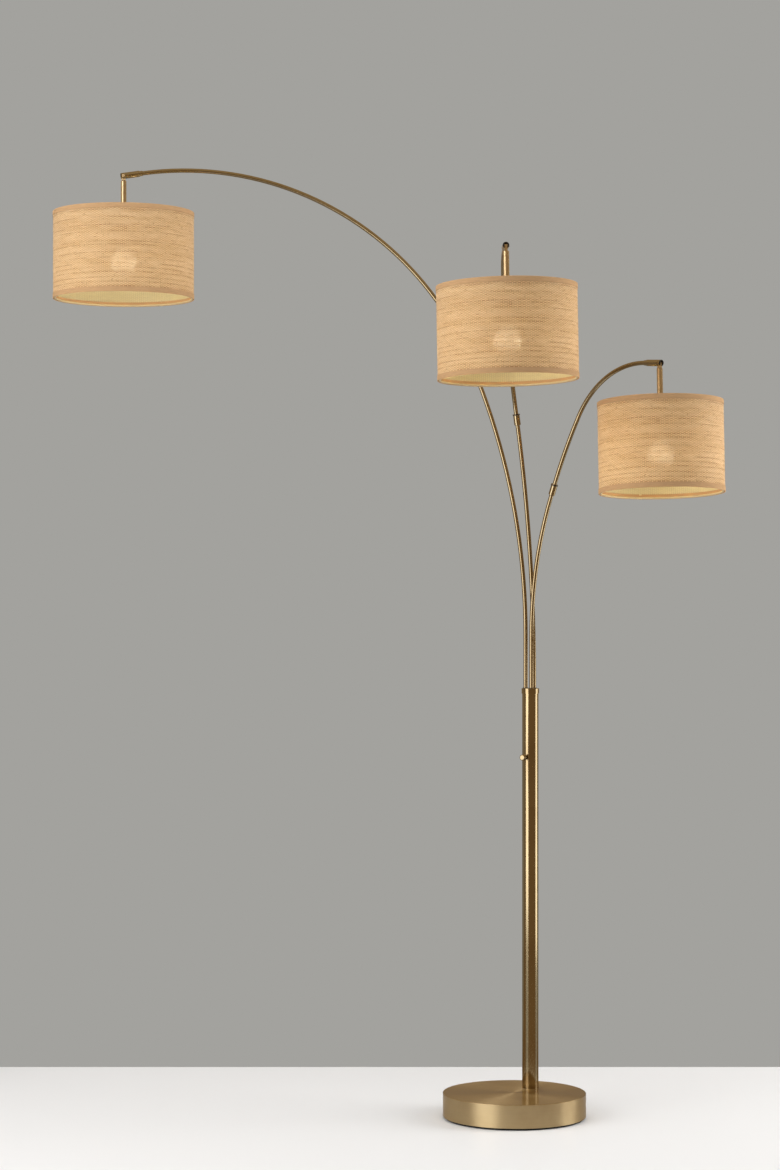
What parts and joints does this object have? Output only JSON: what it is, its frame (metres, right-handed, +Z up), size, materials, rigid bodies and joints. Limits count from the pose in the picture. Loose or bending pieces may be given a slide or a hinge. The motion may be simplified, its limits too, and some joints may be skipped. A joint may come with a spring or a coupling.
{
  "type": "arc floor lamp",
  "caption": "Free-standing arc floor lamp: a weighted round base and pole carry curved brass arms, each with a drum shade of woven fibre on a tilting knuckle.",
  "frame": {"origin": "middle of the base's underside, on the floor", "axes": "+Z up, +X to the lamp's right, -Y to its front; the high arm reaches to -X"},
  "size_m": [1.5277, 0.8532, 2.2037],
  "materials": {
    "base_brass": "antique brass plate, circular brushed top, satin side",
    "pole_brass": "antique brass plate, brushed lengthwise",
    "arm_brass": "antique brass plate, smooth satin",
    "turned_brass": "antique brass plate, fine turned",
    "steel": "plain zinc-plated steel",
    "painted_wire": "satin cream enamel on wire",
    "cast_weight": "raw casting",
    "pad_rubber": "matte foam rubber",
    "black_rubber": "moulded rubber",
    "black_plastic": "moulded, fine texture",
    "cable": "smooth cable sheath",
    "shade_weave": "coarse natural fibre weave on a stiff liner, translucent",
    "shade_tape": "woven edge tape",
    "bulb_glass": "frosted glass"
  },
  "bodies": {
    "stand": {"base_pad": "pad_rubber", "base_weight": "cast_weight", "base_cover": "base_brass", "cord_bushing": "black_rubber", "pole_stud": "steel", "stud_nut": "steel", "pole_foot": "steel", "lower_pole": "pole_brass", "pole_coupler": "steel", "upper_pole": "pole_brass", "pole_cap": "turned_brass", "arm_bushes": "black_plastic", "arm_holder": "steel", "pole_lead": "cable", "switch_body": "black_plastic", "switch_nut": "turned_brass"},
    "knob": {"switch_shaft": "steel", "switch_knob": "turned_brass"},
    "high_arm": {"high_lower_tube": "arm_brass", "high_collar": "turned_brass", "high_upper_tube": "arm_brass", "high_elbow": "turned_brass", "high_pivot_screw": "turned_brass", "high_lead": "cable"},
    "high_head": {"high_drop_rod": "turned_brass", "high_socket_cup": "turned_brass", "high_socket": "black_plastic", "high_ring_nut": "black_plastic", "high_shade_frame": "painted_wire", "high_shade_drum": "shade_weave", "high_shade_binding": "shade_tape", "high_bulb": "bulb_glass"},
    "mid_arm": {"mid_lower_tube": "arm_brass", "mid_collar": "turned_brass", "mid_upper_tube": "arm_brass", "mid_elbow": "turned_brass", "mid_pivot_screw": "turned_brass", "mid_lead": "cable"},
    "mid_head": {"mid_drop_rod": "turned_brass", "mid_socket_cup": "turned_brass", "mid_socket": "black_plastic", "mid_ring_nut": "black_plastic", "mid_shade_frame": "painted_wire", "mid_shade_drum": "shade_weave", "mid_shade_binding": "shade_tape", "mid_bulb": "bulb_glass"},
    "low_arm": {"low_lower_tube": "arm_brass", "low_collar": "turned_brass", "low_upper_tube": "arm_brass", "low_elbow": "turned_brass", "low_pivot_screw": "turned_brass", "low_lead": "cable"},
    "low_head": {"low_drop_rod": "turned_brass", "low_socket_cup": "turned_brass", "low_socket": "black_plastic", "low_ring_nut": "black_plastic", "low_shade_frame": "painted_wire", "low_shade_drum": "shade_weave", "low_shade_binding": "shade_tape", "low_bulb": "bulb_glass"}
  },
  "joints": [
    {"name": "switch_turn", "type": "hinge", "parent": "stand", "child": "knob", "pos_m": [0.04, 0.062, 0.828], "axis": [-0.5592, -0.829, 0], "continuous": true},
    {"name": "high_swivel", "type": "hinge", "parent": "stand", "child": "high_arm", "pos_m": [0.02919, 0.06593, 0.988], "axis": [0, 0, 1], "range_deg": [-30, 30]},
    {"name": "high_tilt", "type": "hinge", "parent": "high_arm", "child": "high_head", "pos_m": [-0.9107, 0.09875, 2.18703], "axis": [0.0349, 0.9994, 0], "range_deg": [-12, 40]},
    {"name": "mid_swivel", "type": "hinge", "parent": "stand", "child": "mid_arm", "pos_m": [0.04881, 0.06939, 0.988], "axis": [0, 0, 1], "range_deg": [-20, 10]},
    {"name": "mid_tilt", "type": "hinge", "parent": "mid_arm", "child": "mid_head", "pos_m": [-0.03802, -0.43193, 1.95281], "axis": [-0.9998, -0.0082, -0.0175], "range_deg": [-12, 40]},
    {"name": "low_swivel", "type": "hinge", "parent": "stand", "child": "low_arm", "pos_m": [0.042, 0.05067, 0.988], "axis": [0, 0, 1], "range_deg": [-15, 15]},
    {"name": "low_tilt", "type": "hinge", "parent": "low_arm", "child": "low_head", "pos_m": [0.30875, -0.26165, 1.71607], "axis": [-0.7588, -0.6507, 0.0278], "range_deg": [-12, 40]}
  ]
}
